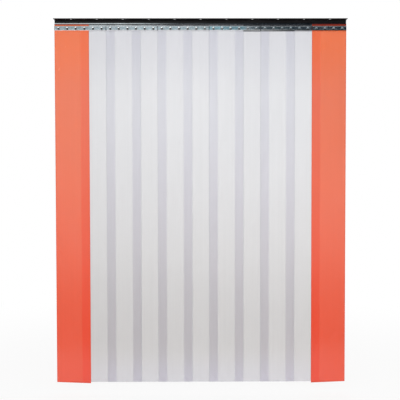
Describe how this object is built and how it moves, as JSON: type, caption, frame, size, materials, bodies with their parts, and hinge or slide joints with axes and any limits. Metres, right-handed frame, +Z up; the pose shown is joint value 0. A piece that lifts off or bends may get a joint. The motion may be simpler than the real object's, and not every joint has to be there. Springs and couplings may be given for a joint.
{
  "type": "strip curtain",
  "caption": "Doorway curtain of overlapping clear PVC strips with orange end strips, clamped under zinc plates to a black slotted steel angle.",
  "frame": {"origin": "middle of the mounting angle's wall face", "axes": "+X along the rail to the viewer's right, +Y into the wall, +Z up"},
  "size_m": [1.7272, 0.0508, 2.1671],
  "materials": {
    "black_powder_coat": "satin black powder coat, fine texture",
    "zinc_plate": "bright zinc plate",
    "clear_pvc": "smooth flexible sheet, see-through, slightly cloudy",
    "orange_pvc": "smooth flexible sheet, translucent safety orange"
  },
  "bodies": {
    "root": {"mounting_angle": "black_powder_coat", "backing_bar": "zinc_plate", "front_plate_1": "zinc_plate", "front_plate_2": "zinc_plate", "front_plate_3": "zinc_plate", "front_plate_4": "zinc_plate", "front_plate_5": "zinc_plate", "front_plate_6": "zinc_plate", "strip_01_top": "orange_pvc", "strip_02_top": "clear_pvc", "strip_03_top": "clear_pvc", "strip_04_top": "clear_pvc", "strip_05_top": "clear_pvc", "strip_06_top": "clear_pvc", "strip_07_top": "clear_pvc", "strip_08_top": "clear_pvc", "strip_09_top": "clear_pvc", "strip_10_top": "clear_pvc", "strip_11_top": "orange_pvc"},
    "blade_01": {"strip_01": "orange_pvc"},
    "blade_02": {"strip_02": "clear_pvc"},
    "blade_03": {"strip_03": "clear_pvc"},
    "blade_04": {"strip_04": "clear_pvc"},
    "blade_05": {"strip_05": "clear_pvc"},
    "blade_06": {"strip_06": "clear_pvc"},
    "blade_07": {"strip_07": "clear_pvc"},
    "blade_08": {"strip_08": "clear_pvc"},
    "blade_09": {"strip_09": "clear_pvc"},
    "blade_10": {"strip_10": "clear_pvc"},
    "blade_11": {"strip_11": "orange_pvc"}
  },
  "joints": [
    {"name": "strip_01_swing", "type": "hinge", "parent": "root", "child": "blade_01", "pos_m": [-0.762, -0.00904, -0.03335], "axis": [1, 0, 0], "range_deg": [-75, 0]},
    {"name": "strip_02_swing", "type": "hinge", "parent": "root", "child": "blade_02", "pos_m": [-0.6096, -0.00671, -0.03335], "axis": [1, 0, 0], "range_deg": [0, 75]},
    {"name": "strip_03_swing", "type": "hinge", "parent": "root", "child": "blade_03", "pos_m": [-0.4572, -0.00904, -0.03335], "axis": [1, 0, 0], "range_deg": [-75, 0]},
    {"name": "strip_04_swing", "type": "hinge", "parent": "root", "child": "blade_04", "pos_m": [-0.3048, -0.00671, -0.03335], "axis": [1, 0, 0], "range_deg": [0, 75]},
    {"name": "strip_05_swing", "type": "hinge", "parent": "root", "child": "blade_05", "pos_m": [-0.1524, -0.00904, -0.03335], "axis": [1, 0, 0], "range_deg": [-75, 0]},
    {"name": "strip_06_swing", "type": "hinge", "parent": "root", "child": "blade_06", "pos_m": [0, -0.00671, -0.03335], "axis": [1, 0, 0], "range_deg": [0, 75]},
    {"name": "strip_07_swing", "type": "hinge", "parent": "root", "child": "blade_07", "pos_m": [0.1524, -0.00904, -0.03335], "axis": [1, 0, 0], "range_deg": [-75, 0]},
    {"name": "strip_08_swing", "type": "hinge", "parent": "root", "child": "blade_08", "pos_m": [0.3048, -0.00671, -0.03335], "axis": [1, 0, 0], "range_deg": [0, 75]},
    {"name": "strip_09_swing", "type": "hinge", "parent": "root", "child": "blade_09", "pos_m": [0.4572, -0.00904, -0.03335], "axis": [1, 0, 0], "range_deg": [-75, 0]},
    {"name": "strip_10_swing", "type": "hinge", "parent": "root", "child": "blade_10", "pos_m": [0.6096, -0.00671, -0.03335], "axis": [1, 0, 0], "range_deg": [0, 75]},
    {"name": "strip_11_swing", "type": "hinge", "parent": "root", "child": "blade_11", "pos_m": [0.762, -0.00904, -0.03335], "axis": [1, 0, 0], "range_deg": [-75, 0]}
  ]
}
